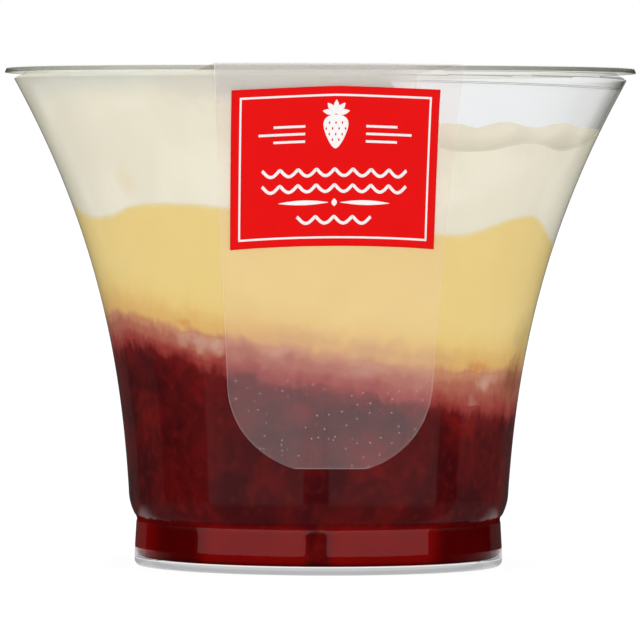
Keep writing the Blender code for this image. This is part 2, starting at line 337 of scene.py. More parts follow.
# %% The whole profile
def pot_profile():
    """From the inside floor's centre, up the inside, over the flange and down."""
    corner = FLOOR + CORNER * (1 - np.cos(np.radians(np.linspace(0, 90, 15))))
    shoulder = np.linspace(FOOT_TOP, FLARE_LOW, 9)
    wall = np.linspace(FLARE_LOW, STEP_HEIGHT - 0.6 * MM, 48)[1:]
    step = np.linspace(STEP_HEIGHT - 0.1 * MM, STEP_HEIGHT + 0.3 * MM, 9)
    top = np.linspace(STEP_HEIGHT + 0.5 * MM, FLANGE_LOW - 0.1 * MM, 12)
    up = np.concatenate([corner, shoulder, wall, step, top])
    down = np.concatenate([np.linspace(FLANGE_LOW, KNEE, 10), wall[::-1], shoulder[:0:-1]])
    return np.vstack([[[0, FLOOR]], stepped(up), *flange_rows(float(stepped(up)[-1, 0])),
                      np.stack([outside(down), down], -1), *foot_rows(), [[0, RECESS]]])


pot = turned("pot", bowed(dipped(spun(pot_profile()))), smooth_to=60)

# %% [markdown]
# ## Uneven shapes from sums of waves
#
# Food is never quite flat.  A sum of sine waves that run in random directions
# gives soft lumps anywhere in space.  The random numbers come from a fixed seed,
# so that the pot is filled the same way each time.


# %% Lumps
def lumps(points, size, seed, waves=14):
    """Soft noise from -1 to 1: a mean of sines of k . p + phase, with |k| near 2 pi / size."""
    rng = np.random.default_rng(seed)
    along = rng.normal(size=(3, waves))
    along *= rng.uniform(0.7, 1.3, waves) * 2 * np.pi / size / np.linalg.norm(along, axis=0)
    phase = rng.uniform(0, 2 * np.pi, waves)
    return np.sin(points @ along + phase).sum(-1) * (1.6 / waves)


print("lumps along a line:", np.round(lumps(np.eye(3) * 5 * MM, 5 * MM, 3), 2))

# %% [markdown]
# ## Where the layers meet
#
# Each boundary is a wavy line round the wall, given by a few heights at angles
# from the front towards +X, with a smooth curve between them.


# %% A closed wavy line
def around(line, angle):
    """Height of a closed wavy line at an angle: cubic pieces through (degrees, mm) points."""
    given = np.array(line, float)
    degrees = np.concatenate([given[:, 0] - 360, given[:, 0], given[:, 0] + 360])
    heights = np.tile(given[:, 1], 3) * MM
    slopes = np.gradient(heights, degrees)
    here = (np.degrees(angle) + 180) % 360 - 180
    i = np.searchsorted(degrees, here, side="right") - 1
    width = degrees[i + 1] - degrees[i]
    t = (here - degrees[i]) / width
    start = (1 + 2 * t) * (1 - t) ** 2 * heights[i] + t * (1 - t) ** 2 * width * slopes[i]
    end = t * t * (3 - 2 * t) * heights[i + 1] + t * t * (t - 1) * width * slopes[i + 1]
    return start + end


print("half way from 10 mm to 20 mm the line is at",
      round(float(around([(-90, 10), (90, 20)], 0.0)) / MM, 1))

# %% [markdown]
# The fruit stands highest at the left, and the custard comes down over the sponge
# towards the right.  At the wall the cream fills the pot up to the flange on the
# left and leaves a space on the right, so its line falls steeply near the front.

# %% Lines at the wall
COMPOTE_LINE = [(-150, 32.0), (-85, 33.2), (-60, 34.2), (-38, 32.2), (-14, 29.6), (10, 27.7),
                (35, 25.3), (58, 24.3), (85, 23.9), (120, 26.6), (160, 30.2)]
SPONGE_LINE = [(-150, 35.6), (-90, 37.0), (-63, 37.9), (-40, 35.9), (-16, 34.0), (8, 31.8),
               (25, 30.6), (42, 29.9), (55, 29.7), (80, 29.2), (120, 31.2), (160, 33.6)]
CUSTARD_LINE = [(-150, 52.6), (-120, 53.4), (-88, 54.5), (-63, 52.3), (-44, 54.4), (-20, 54.0),
                (8, 52.4), (36, 50.3), (58, 52.9), (78, 48.9), (110, 49.2), (145, 51.4)]
CREAM_LINE = [(-140, 73.3), (-85, 73.7), (-40, 73.75), (-16, 73.7), (2, 73.5), (12, 72.9),
              (19, 65.4), (26, 62.7), (36, 62.5), (46, 63.6), (60, 62.7), (72, 63.3),
              (88, 65.4), (112, 66.0), (140, 66.1), (158, 66.3), (172, 70.6)]
print("mean heights at the wall, in mm:",
      [round(float(np.mean([height for _, height in line])), 1)
       for line in (COMPOTE_LINE, SPONGE_LINE, CUSTARD_LINE, CREAM_LINE)])

# %% [markdown]
# Towards the middle of the pot a boundary calms down to its line's mean height.
# Small lumps make it ragged: a little where cream lies on custard, more where
# custard has sunk into soaked sponge.


# %% Boundaries between layers
def place(out, angle, z):
    """The point at a share of the pot's inside radius, an angle from the front, a height."""
    return at(out * inside(z), angle, z)


def meeting(line, ragged, seed):
    """A boundary: its line at the wall, calmer inside, with lumps of 7 and 2.6 mm."""
    mean = np.mean([height for _, height in line]) * MM

    def height(out, angle):
        base = mean + (around(line, angle) - mean) * out ** 2
        flat = place(out, angle, np.full(np.shape(base), mean))
        rough = lumps(flat, 7 * MM, seed) + 0.45 * lumps(flat, 2.6 * MM, seed + 1)
        return base + ragged * rough
    return height


compote_top = meeting(COMPOTE_LINE, 0.55 * MM, 11)
sponge_top = meeting(SPONGE_LINE, 0.4 * MM, 13)
custard_top = meeting(CUSTARD_LINE, 0.18 * MM, 15)
print(f"the custard is {(custard_top(0.0, 0.0) - sponge_top(0.0, 0.0)) / MM:.1f} mm deep inside")

# %% [markdown]
# The cream was piped in high at the left and spread to the right.  Its top is
# a smooth slope with long folds across it, and only close to the wall does it
# move over to the line that the wall shows.

# %% The cream's top
HEAP_HIGH = 73.4 * MM
HEAP_LOW = 66.4 * MM
HEAP_FALL_FROM = -30 * MM
HEAP_FALL_TO = 10 * MM
WALL_PULL = 12                          # the higher, the nearer to the wall the line takes over


def heap(out, angle):
    """The cream's top: a slope from high left to low right, with folds.

    It is slope + (line - slope) out^12, so that it keeps to its line at the wall.
    """
    x = out * outside(HEAP_LOW) * np.sin(angle)
    fall = np.clip((HEAP_FALL_TO - x) / (HEAP_FALL_TO - HEAP_FALL_FROM), 0, 1)
    top = HEAP_LOW + (HEAP_HIGH - HEAP_LOW) * fall * fall * (3 - 2 * fall)
    flat = place(out, angle, np.full(np.shape(top), HEAP_LOW))
    folds = (0.18 * MM * lumps(flat, 17 * MM, 31)
             + 0.7 * MM * lumps(flat * [1, 0.02, 1], 6 * MM, 316)
             + 0.10 * MM * lumps(flat, 2.6 * MM, 34))
    top = np.minimum(top + folds * (1 - 0.7 * fall), HEAP_HIGH + 0.1 * MM)
    line = around(CREAM_LINE, angle) + 0.22 * MM * lumps(flat, 5 * MM, 33)
    line = np.minimum(line, FLANGE_LOW - 0.03 * MM)
    return top + (line - top) * out ** WALL_PULL


print("the cream's top at the left and the right, in mm:",
      [round(float(heap(0.9, turn)) / MM, 1) for turn in (-np.pi / 2, np.pi / 2)])

# %% [markdown]
# ## The food
#
# A layer is a drum: out to the wall along its lower face, up its side, and back
# along its upper face.  Its side reaches a little way into the plastic, because
# in a full pot there is no air between food and wall.  Two numbers are kept at
# each point, the distance down from the layer's top and up from its bottom, so
# that a finish can stain the edges where one layer has soaked into the next.

# %% Layers
SKIN = 0.06 * MM                        # the plastic left between food and outside
TUCK = 0.15 * MM                        # how far a layer reaches into the one below


def keep(piece, label, distance):
    """Keep one distance at each point of a piece, in mm, for its finish to read."""
    field = piece.data.attributes.new(label, "FLOAT", "POINT")
    field.data.foreach_set("value", (distance / MM).astype(np.float32).ravel())


def food(name, low, high, sink, side_rows=40, side_power=1.0, face_rows=28):
    """A closed layer between two height functions of (share of radius, angle).

    Out and up are columns of shares, one for each row of the net; the angle runs
    along the rows.  height = bottom + (top - bottom) up, and the radius is out
    times a radius SKIN inside the pot's outside, less sink, which keeps layers apart.
    """
    faces = np.linspace(0, 1, face_rows + 1) ** 0.8
    side = np.linspace(0, 1, side_rows + 1) ** side_power
    out = np.concatenate([faces, np.ones(side_rows - 1), faces[::-1]])[:, None]
    up = np.concatenate([0 * faces, side[1:-1], 0 * faces + 1])[:, None]
    angle = np.arange(ROUND)[None, :] * 2 * np.pi / ROUND
    bottom, top = low(out, angle), high(out, angle)
    height = bottom + (top - bottom) * up
    radius = out * (inside(height) + thickness(height) - SKIN - sink)
    piece = turned(name, at(radius, angle, height), smooth_to=55)
    for label, distance in (("below_top", top - height), ("above_base", height - bottom)):
        keep(piece, label, np.append(distance[1:-1].ravel(), [distance[0, 0], distance[-1, 0]]))
    return piece


print(f"a layer ends {SKIN / MM:.2f} mm inside the pot's outside")

# %% [markdown]
# From the bottom up: compote on the floor, sponge, custard, and the cream with its
# heap.  Each starts a little inside the one below, so that no gap shows between them.
# The compote's rows are closest at the foot, and the cream's at its top.

# %% The four layers
compote = food("compote_fill", lambda out, angle: FLOOR - 0.1 * MM + 0 * out * angle,
               compote_top, 0.0, side_rows=90, side_power=1.5)
sponge = food("sponge_layer", lambda out, angle: compote_top(out, angle) - TUCK,
              sponge_top, 0.02 * MM, side_rows=16)
custard = food("custard_layer", lambda out, angle: sponge_top(out, angle) - TUCK,
               custard_top, 0.04 * MM)
cream = food("cream_layer", lambda out, angle: custard_top(out, angle) - TUCK,
             heap, 0.06 * MM, face_rows=60, side_rows=64, side_power=0.6)

# %% [markdown]
# ## The film
#
# The lidding film is welded to the flange.  It is as flat as a drum skin, with a
# faint pressed ring where the heat seal ran and a few soft pull lines inside it.

# %% The film
SEAL_IN = 1.1 * MM                      # the pressed ring's distance from the edge
SEAL_WIDE = 0.35 * MM
FILM_THICK = 0.06 * MM


def film_net(rows=60):
    """Top and bottom of a thin disc: a pressed ring near the edge, soft lumps inside.

    The ring is a bell curve 0.03 mm deep, and inside it the film sags by 0.05 mm.
    """
    out = np.linspace(0, 1, rows)[:, None]
    angle = np.arange(ROUND)[None, :] * 2 * np.pi / ROUND
    radius = out * (RIM - 0.05 * MM)
    flat = at(radius, angle, 0 * radius)
    seal = np.exp(-((radius - RIM + SEAL_IN) / SEAL_WIDE) ** 2)
    pull = 0.3 * lumps(flat, 24 * MM, 41) * np.clip(1 - out ** 6, 0, 1)
    top = FILM_TOP + 0.02 * MM - 0.03 * MM * seal - 0.05 * MM * (1 + pull) * (1 - out ** 8)
    bottom = top - FILM_THICK
    upper, lower = flat.copy(), flat.copy()
    upper[..., 2], lower[..., 2] = top, bottom
    return np.vstack([lower, upper[::-1]])


film = turned("clear_film", bowed(film_net()))

# %% [markdown]
# ## The label strip
#
# A clear strip is stuck on the front, runs over the film and comes down the back
# in the same way.  Its middle line climbs the wall, spans the hollow under the
# flange, folds over the rim and crosses the film.  The strip is this line carried
# sideways: on the wall sideways means round the axis, on the film it means flat.

# %% The strip's middle line and width
STRIP_TURN = math.radians(3.5)          # how far its middle sits off the front, towards +X
END_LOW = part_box("label_strip")[0].z
ROUND_TOP = 28.3 * MM                   # where the rounded end begins
ROUND_DEPTH = 13.3 * MM
HALF_LOW = 15.75 * MM                   # half its width there
HALF_TOP = 18.4 * MM                    # and at the rim
LEAVES_WALL = 68.5 * MM
STUCK = 0.05 * MM                       # the strip's distance from what it lies on


def strip_radius(z, lift=0.0):
    """Radius of the strip at height z: on the wall, then spanning to the flange."""
    z = np.asarray(z, float)
    start = outside(LEAVES_WALL)
    share = np.clip((z - LEAVES_WALL) / (FLANGE_LOW - LEAVES_WALL), 0, 1)
    span = start + (RIM - start) * share
    return np.where(z < LEAVES_WALL, outside(z), span) + STUCK + lift


def half_width(z):
    """Half the strip's width: an even taper, and half an ellipse cut off at the end."""
    up = np.clip((z - ROUND_TOP) / (FLANGE_TOP - ROUND_TOP), 0, 1)
    down = np.clip((ROUND_TOP - z) / ROUND_DEPTH, 0, 1)
    return (HALF_LOW + (HALF_TOP - HALF_LOW) * up) * np.sqrt(1 - down ** 2)


def on_front(across, z, lift=0.0):
    """The point a distance across from the strip's middle line, at a height on the front."""
    radius = strip_radius(z, lift)
    return at(radius, STRIP_TURN + across / radius, z)


print("half the strip's width at its round end and at the rim:",
      [round(float(half_width(z)) / MM, 2) for z in (ROUND_TOP, FLANGE_TOP)])

# %% [markdown]
# The film itself is an open net that Solidify thickens.  Each point keeps its
# distance from the border, because a painted highlight makes the cut edge paler.

# %% Thin sheets
FILM_GAUGE = 0.09 * MM
FOLD = 0.2 * MM                         # radius of the bend over the rim


def half_turned(net):
    """The same net on the back: turned half round Z, in reversed order."""
    return (net * [-1, -1, 1])[::-1, ::-1]


def sheet(name, nets, gauge):
    """Open nets as one thin film, thickened outwards by Solidify."""
    counts = np.cumsum([0] + [net.shape[0] * net.shape[1] for net in nets])
    faces = [quads(net.shape[0], net.shape[1], False) + start
             for net, start in zip(nets, counts)]
    piece = fill_mesh(name, np.vstack([net.reshape(-1, 3) for net in nets]), faces)
    thick = piece.modifiers.new("Gauge", "SOLIDIFY")
    thick.thickness = gauge
    thick.offset = 1
    return piece


print(f"the strip is {FILM_GAUGE / MM:.2f} mm thick")

# %% [markdown]
# Seen from the side the strip is an arch: up the front, round the rim in a tight
# bend, across, and down the back.  The back is the front turned half round.


# %% The whole strip
def strip_net(columns=60):
    """Rows of points from the front end, over the pot, to the back end.

    The second array is each point's distance from the strip's border.
    """
    share = np.linspace(-1, 1, columns + 1)[None, :]
    z = np.concatenate([np.linspace(END_LOW, ROUND_TOP, 40),
                        np.linspace(ROUND_TOP, LEAVES_WALL, 60)[1:],
                        np.linspace(LEAVES_WALL, FLANGE_LOW, 10)[1:],
                        np.linspace(FLANGE_LOW, FLANGE_TOP - 0.05 * MM, 4)[1:]])[:, None]
    wall = on_front(half_width(z) * share, z)
    turn = np.radians(np.linspace(0, 90, 8))[1:, None]
    crown = FILM_TOP + 0.12 * MM
    radius = RIM + STUCK - FOLD * (1 - np.cos(turn))
    angle = STRIP_TURN + HALF_TOP * share / (RIM + STUCK)
    over = at(radius, angle, crown - FOLD * (1 - np.sin(turn)))
    front = np.vstack([wall, over])
    back = half_turned(front)
    mix = np.linspace(0, 1, 60)[1:-1, None, None]
    across = front[-1][None] * (1 - mix) + back[0][None] * mix
    half = np.concatenate([half_width(z), np.full((len(turn), 1), HALF_TOP)])
    low = np.concatenate([z - END_LOW, np.full((len(turn), 1), 1.0)])
    near = np.minimum(half * (1 - np.abs(share)), low)
    flat = np.repeat(near[-1][None], len(mix), 0)
    return np.vstack([front, across, back]), np.vstack([near, flat, near[::-1]])


strip_points, strip_edge = strip_net()
strip = sheet("label_strip_film", [strip_points], FILM_GAUGE)
keep(strip, "from_edge", strip_edge)
print("strip:", [round(v / MM, 1) for v in strip.dimensions])

# %% [markdown]
# ## The print
#
# The front carries a red field with a thin white frame.  What is inside the frame
# is a plain drawing of its own: a strawberry between short rules, rows of scallops
# and a rule with a drop.  Ink has no thickness worth modelling, but a mesh keeps
# its edges sharp at any distance, so each shape is a very thin sheet on the strip.

# %% The red field
PANEL_LOW, PANEL_HIGH = 47.87 * MM, 71.0 * MM
PANEL_HALF = 15.35 * MM
PANEL_SHIFT = -0.27 * MM                # it was stuck a little to the left, and a little turned
PANEL_TURN = math.radians(0.48)
PANEL_PEAK = 0.62 * MM                  # how far its middle line bows up
PEAK_SOFT = 0.006                       # rounding of the top edge's peak
INK = 0.02 * MM
ON_STRIP = FILM_GAUGE + 0.01 * MM
PANEL_MIDDLE = (PANEL_LOW + PANEL_HIGH) / 2


def printed(across, up, lift):
    """A point of the print: across from its middle line and up from its middle height.

    A straight line printed on the strip bows up in the middle of the curved wall: by
    PANEL_PEAK, falling off with the square of the distance at the bottom, and evenly,
    with a soft peak, at the top.
    """
    share = np.abs(across) / PANEL_HALF
    high = np.clip(up / (PANEL_HIGH - PANEL_MIDDLE), -1, 1) * 0.5 + 0.5
    peak = 1 - np.sqrt(share ** 2 + PEAK_SOFT) * 0.98
    bow = (1 - share ** 2) * (1 - high) + peak * high
    up = PANEL_MIDDLE + up + PANEL_PEAK * bow
    return on_front(across + PANEL_SHIFT - PANEL_TURN * (up - PANEL_MIDDLE),
                    up + PANEL_TURN * across, lift)


def panel_net(rows=48, columns=60):
    """The red field as a net over the strip."""
    up = np.linspace(PANEL_LOW, PANEL_HIGH, rows + 1)[:, None] - PANEL_MIDDLE
    across = np.linspace(-PANEL_HALF, PANEL_HALF, columns + 1)[None, :]
    return printed(across + 0 * up, up + 0 * across, ON_STRIP)


panel = sheet("label_red_print", [panel_net()], INK)
print("red field:", [round(v / MM, 1) for v in panel.dimensions])

# %% [markdown]
# Lines are ribbons: a path in the panel's own plane, moved half a width to either
# side.  Filled shapes are ruled between a left and a right outline.  The helpers
# only collect nets, and at the end all white ones become one piece.

# %% Ribbons and filled shapes
WHITE_LIFT = ON_STRIP + INK + 0.005 * MM
SEED_LIFT = WHITE_LIFT + INK + 0.005 * MM
white_nets = []
seed_nets = []


def ribbon(path, width):
    """A line of even width along a path of (across, up) points."""
    step = np.gradient(path, axis=0)
    side = np.stack([-step[:, 1], step[:, 0]], -1)
    side *= width / 2 / np.linalg.norm(side, axis=1, keepdims=True)
    both = np.stack([path + side, path - side], 1)
    white_nets.append(printed(both[..., 0], both[..., 1], WHITE_LIFT))


def filled(left, right, columns=12, nets=white_nets, lift=WHITE_LIFT):
    """A shape ruled between two outlines, each an array of (across, up) points."""
    share = np.linspace(0, 1, columns + 1)[None, :, None]
    net = left[:, None] * (1 - share) + right[:, None] * share
    nets.append(printed(net[..., 0], net[..., 1], lift))


def straight(start, end, steps=40):
    """Points evenly spaced from start to end."""
    share = np.linspace(0, 1, steps + 1)[:, None]
    return np.array(start) * (1 - share) + np.array(end) * share


print(f"white lies {(WHITE_LIFT - ON_STRIP) / MM:.3f} mm over the red")

# %% [markdown]
# The frame follows the field's edge at an even distance.

# %% The frame
FRAME_INSET = 1.42 * MM
FRAME_LINE = 0.3 * MM


def frame_lines():
    """The thin frame, as four ribbons whose ends overlap in the corners."""
    half = PANEL_HALF - FRAME_INSET
    tall = (PANEL_HIGH - PANEL_LOW) / 2 - FRAME_INSET + 0.15 * MM
    tip = FRAME_LINE / 2
    for up in (-tall, tall):
        ribbon(straight((half + tip, up), (-half - tip, up)), FRAME_LINE)
    for across in (-half, half):
        ribbon(straight((across, -tall), (across, tall)), FRAME_LINE)


frame_lines()
print("frame:", len(white_nets), "ribbons")

# %% [markdown]
# One pointed oval serves for leaves, seeds, drops and tapered rules.  The berry is
# a filled outline with a crown of five such leaves and rows of seeds.


# %% Leaves and the berry
def leaf(root, turn, length, width, **kind):
    """A pointed oval that grows from root, turned from upright.

    Half its width is sin(pi s)^0.8 of the way across, where s runs from root to tip.
    """
    s = np.linspace(0, 1, 14)
    along = np.array([math.sin(turn), math.cos(turn)])
    side = np.array([along[1], -along[0]])
    middle = root + length * s[:, None] * along
    half = width / 2 * np.sin(np.pi * np.clip(s, 0.02, 0.98))[:, None] ** 0.8 * side
    filled(middle - half, middle + half, 4, **kind)


def strawberry(low, size):
    """A berry: half its width is t^0.6 (1 - t^5)^0.5 from the tip up, with a leafy crown."""
    t = np.linspace(0.003, 0.997, 48)
    half = size * 0.50 * t ** 0.6 * np.sqrt(1 - t ** 5)
    up = low + size * t
    filled(np.stack([-half, up], -1), np.stack([half, up], -1))
    root = np.array([0, low + size * 1.03])
    for turn in (-78, -40, 0, 40, 78):
        leaf(root, math.radians(turn), size * 0.40, size * 0.17,
             lift=WHITE_LIFT + 0.003 * MM * (2 + turn / 40))
    for row, count in ((0.80, 3), (0.63, 4), (0.46, 3), (0.30, 2)):
        for across in np.linspace(-1, 1, count) * size * 0.095 * (count - 1):
            leaf(np.array([across, low + size * row]), math.pi, size * 0.085, size * 0.045,
                 nets=seed_nets, lift=SEED_LIFT)


strawberry(2.6 * MM, 4.9 * MM)
print("berry:", len(white_nets) - 4, "white shapes and", len(seed_nets), "seeds")

# %% [markdown]
# Short rules stand beside the berry.  Below it come two rows of scallops, a tapered
# rule with a drop, and a last short row.


# %% Rules and scallops
def scallops(half_wide, count, up, tall=1.1 * MM, width=0.46 * MM):
    """A row of bumps that hang from a level: the root of sin^2 + 0.02, so the cusps are soft."""
    across = np.linspace(-half_wide, half_wide, 24 * count + 1)
    bump = np.sqrt(np.sin(np.pi * count * (across / half_wide + 1) / 2) ** 2 + 0.02)
    ribbon(np.stack([across, up - tall * bump], -1), width)


for side in (-1, 1):
    for row, far in ((5.9, 9.0), (4.8, 11.2), (3.7, 9.0)):
        ribbon(straight((side * 4.4 * MM, row * MM), (side * far * MM, row * MM)), 0.36 * MM)
scallops(10.6 * MM, 8, -0.2 * MM)
scallops(10.6 * MM, 8, -2.5 * MM)
for side in (-1, 1):
    leaf(np.array([side * 0.9 * MM, -5.2 * MM]), side * math.pi / 2, 7.2 * MM, 0.7 * MM)
leaf(np.array([0, -5.75 * MM]), 0.0, 1.1 * MM, 0.8 * MM)
scallops(5.4 * MM, 4, -7.1 * MM)
white = sheet("label_white_print", white_nets, INK)
seeds = sheet("label_seed_print", seed_nets, INK)
print("white print:", len(white_nets), "shapes, seeds:", len(seed_nets))

# %% [markdown]
# ## Finishes
#
# A finish is a small tree of shader nodes.  It could be a picture wrapped round the
# piece, but nodes have no seam and stay sharp close up.  One helper starts a finish
# and another adds a node and links its inputs, so that each finish stays short.


# %% Starting a finish and adding nodes
def put(tree, socket, value):
    """Link a socket, or give it a plain value; a colour of three parts gets its fourth."""
    if isinstance(value, bpy.types.NodeSocket):
        tree.links.new(value, socket)
    elif socket.type == "RGBA":
        socket.default_value = (*value, 1.0)[:4]
    else:
        socket.default_value = value


def add(tree, kind, settings=None, **inputs):
    """One node.  Inputs are values, or sockets to link; a, b and c mean its first three."""
    node = tree.nodes.new("ShaderNode" + kind)
    for key, value in (settings or {}).items():
        setattr(node, key, value)
    for key, value in inputs.items():
        put(tree, node.inputs["abc".index(key) if key in "abc" else key.replace("_", " ")], value)
    return node


def math_node(tree, operation, a, b=0.0):
    """A number worked out from two others."""
    return add(tree, "Math", {"operation": operation}, a=a, b=b).outputs[0]


def times(tree, a, b):
    return math_node(tree, "MULTIPLY", a, b)


def plus(tree, a, b):
    return math_node(tree, "ADD", a, b)


def minus(tree, a, b):
    return math_node(tree, "SUBTRACT", a, b)


def mix_colour(tree, share, first, second):
    """Between two colours by a share from 0 to 1."""
    node = add(tree, "Mix", {"data_type": "RGBA"})
    for number, value in ((0, share), (6, first), (7, second)):
        put(tree, node.inputs[number], value)
    return node.outputs[2]


def dress(piece, name, surface):
    """Give a piece the finish that a function builds in an empty tree."""
    finish = bpy.data.materials.new(name)
    finish.use_nodes = True
    tree = finish.node_tree
    tree.nodes.clear()
    out = tree.nodes.new("ShaderNodeOutputMaterial")
    tree.links.new(surface(tree), out.inputs[0])
    piece.data.materials.append(finish)
    print(f"{piece.name}: {name}, {len(tree.nodes)} nodes")


# %% [markdown]
# Most patterns here are soft noise with a soft step or a scale of colours after it.
# Noise that is drawn out upwards looks like juice that has run down.


# %% Noise, soft steps and colour scales
def noise(tree, where, size, detail=2.0, distortion=0.0):
    """Soft noise whose features are about size metres across."""
    return add(tree, "TexNoise", Vector=where, Scale=1 / size, Detail=detail,
               Distortion=distortion).outputs["Fac"]


def streaky(tree, where, size, stretch, detail=3.0):
    """Noise drawn out upwards."""
    drawn = add(tree, "VectorMath", {"operation": "MULTIPLY"}, a=where, b=(1, 1, 1 / stretch))
    return noise(tree, drawn.outputs[0], size, detail)


def ease(tree, value, low, high):
    """0 at low, 1 at high, smooth between."""
    return add(tree, "MapRange", {"interpolation_type": "SMOOTHSTEP"}, Value=value,
               From_Min=low, From_Max=high).outputs["Result"]


def ramp(tree, value, *stops):
    """A colour along a scale of (position, colour) stops, smooth between them."""
    node = add(tree, "ValToRGB", Fac=value)
    node.color_ramp.interpolation = "EASE"
    points = node.color_ramp.elements
    points[0].color = (*stops[0][1], 1.0)
    points[1].color = (*stops[-1][1], 1.0)
    for position, colour in stops[1:-1]:
        points.new(position).color = (*colour, 1.0)
    return node.outputs[0]


# %% [markdown]
# A crumb, a piece of fruit or a stain that shows at the wall is one soft patch at
# an angle from the front and a height.  Its edge is roughened with noise, because
# a clean oval would look painted on.


# %% Patches on the wall
def patch_at(tree, where, centre, radii, ragged):
    """A soft oval of 1 round a place on the wall, with a ragged edge, fading to 0 outside."""
    away = add(tree, "VectorMath", {"operation": "SUBTRACT"}, a=where, b=centre).outputs[0]
    scaled = add(tree, "VectorMath", {"operation": "DIVIDE"}, a=away, b=radii).outputs[0]
    far = add(tree, "VectorMath", {"operation": "LENGTH"}, a=scaled).outputs["Value"]
    rough = times(tree, minus(tree, noise(tree, where, 1.8 * MM, 3.0), 0.5), 4 * ragged)
    return minus(tree, 1.0, ease(tree, plus(tree, far, rough), 0.1, 1.5))


def on_wall(angle, height):
    """The point of the inside wall at an angle in degrees and a height in mm."""
    return tuple(at(outside(height * MM) - SKIN, math.radians(angle), height * MM).tolist())


def spotted(tree, where, colour, spots):
    """A colour with patches, each (degrees, height, half width, half height, share, colour).

    Sizes are in mm.  The larger a patch, the smoother its edge.
    """
    for angle, height, wide, tall, share, other in spots:
        radii = (wide * MM, wide * MM, tall * MM)
        spot = patch_at(tree, where, on_wall(angle, height), radii, min(0.5, MM / radii[2]))
        colour = mix_colour(tree, times(tree, spot, share), colour, other)
    return colour


print("30 mm up the wall at 45 degrees:", [round(v / MM, 1) for v in on_wall(45, 30)])

# %% [markdown]
# ### What all food shares
#
# Where two layers touch, each has soaked a little into the other.  Both use the same
# ragged boundary, the colours that meet there and the stains that cross it, so these
# come first.

# %% Ragged boundaries and shared colours
CREAM_FRAY = 0.35                       # how ragged each boundary is, in mm
SOAK_FRAY = 1.3
FRUIT_FRAY = 1.6
CREAM_FOOT = (0.91, 0.79, 0.50)
SPONGE_PALE = (0.60, 0.265, 0.150)
SPONGE_RED = (0.34, 0.050, 0.042)
STAIN_ORANGE = (0.66, 0.26, 0.07)
STAIN_BROWN = (0.25, 0.066, 0.030)
STAIN_TAN = (0.66, 0.37, 0.20)
JUICE_STAINS = [(-38.5, 37.0, 1.4, 0.6, 0.6, STAIN_ORANGE),
                (-55, 37.4, 2.2, 0.4, 0.5, STAIN_ORANGE),
                (50, 30.4, 2.4, 1.0, 0.7, STAIN_ORANGE),
                (-6, 34.8, 6.0, 1.7, 0.45, STAIN_TAN),
                (13, 33.2, 6.0, 1.8, 0.6, STAIN_TAN),
                (30, 31.9, 6.0, 1.6, 0.5, STAIN_TAN),
                (71, 28.2, 4.5, 3.2, 0.75, STAIN_BROWN),
                (73, 33.0, 4.0, 5.0, 0.25, STAIN_BROWN),
                (150, 34.0, 1.8, 1.2, 0.7, STAIN_ORANGE)]


def layer_fields(tree, fray_top, fray_base):
    """Distances below the top and above the base in mm, each made ragged by noise.

    Two layers that touch use the same noise with the same fray, one taking away what
    the other adds, so that a stain runs across the boundary without a break.
    """
    where = add(tree, "TexCoord").outputs["Object"]
    soft = minus(tree, noise(tree, where, 3 * MM, 3.0), 0.5)
    fine = minus(tree, streaky(tree, where, 0.8 * MM, 2.5), 0.5)
    rough = plus(tree, times(tree, soft, 2.0), fine)
    below = add(tree, "Attribute", {"attribute_name": "below_top"}).outputs["Fac"]
    above = add(tree, "Attribute", {"attribute_name": "above_base"}).outputs["Fac"]
    below = minus(tree, below, times(tree, rough, fray_top))
    above = plus(tree, above, times(tree, rough, fray_base))
    return where, below, above


print("stains at the sponge's edges:", len(JUICE_STAINS))

# %% [markdown]
# Food is matt, with a fine grain where it is whipped or baked.  Light wanders a
# short way inside cream and custard, which keeps their shadows soft.

# %% A matt surface
WANDER = 1.5 * MM                       # how far light travels inside
GRAIN_DEPTH = 0.3 * MM


def grain(tree, where, size, detail, strength):
    """Fine relief that is too small for the mesh."""
    height = noise(tree, where, size, detail)
    return add(tree, "Bump", Height=height, Strength=strength, Distance=GRAIN_DEPTH).outputs[0]


def matt(tree, colour, roughness, gloss=0.0, wander=None, relief=None):
    """A matt surface, of food or ink.

    Wander says how far red, green and blue light gets inside, as shares of WANDER.
    """
    shader = add(tree, "BsdfPrincipled", Base_Color=colour, Roughness=roughness)
    shader.inputs["Specular IOR Level"].default_value = gloss
    if wander is not None:
        shader.inputs["Subsurface Weight"].default_value = 0.15
        shader.inputs["Subsurface Radius"].default_value = wander
        shader.inputs["Subsurface Scale"].default_value = WANDER
    if relief is not None:
        tree.links.new(relief, shader.inputs["Normal"])
    return shader.outputs[0]


# %% [markdown]
# ### Cream
#
# Whipped cream is warm white with faint clouds.  High up at the front, under the
# flange, it is painted greyer and darker as shade, and its top face is painted
# darker as shade too.  It is yellower where it rests on the custard.

# %% Cream
CREAM_COLOUR = (0.93, 0.875, 0.715)
CREAM_SHADE = (0.88, 0.825, 0.665)
CREAM_WARM = (0.91, 0.83, 0.66)
CREAM_TOP_SHADE = (0.76, 0.70, 0.555)
CREAM_FLANGE_SHADE = (0.70, 0.70, 0.62)
# A custard streak low down, and three larger tinted patches higher up: greyer, pinker and warmer.
CREAM_PATCHES = [(-47.5, 57.6, 1.8, 3.2, 0.35, (0.88, 0.70, 0.40)),
                (-24, 71.5, 6.0, 3.6, 0.45, (0.72, 0.65, 0.55)),
                (-62, 71.0, 8.0, 3.0, 0.3, (0.74, 0.75, 0.65)),
                (46, 64.0, 6.0, 2.2, 0.3, (0.82, 0.70, 0.58))]


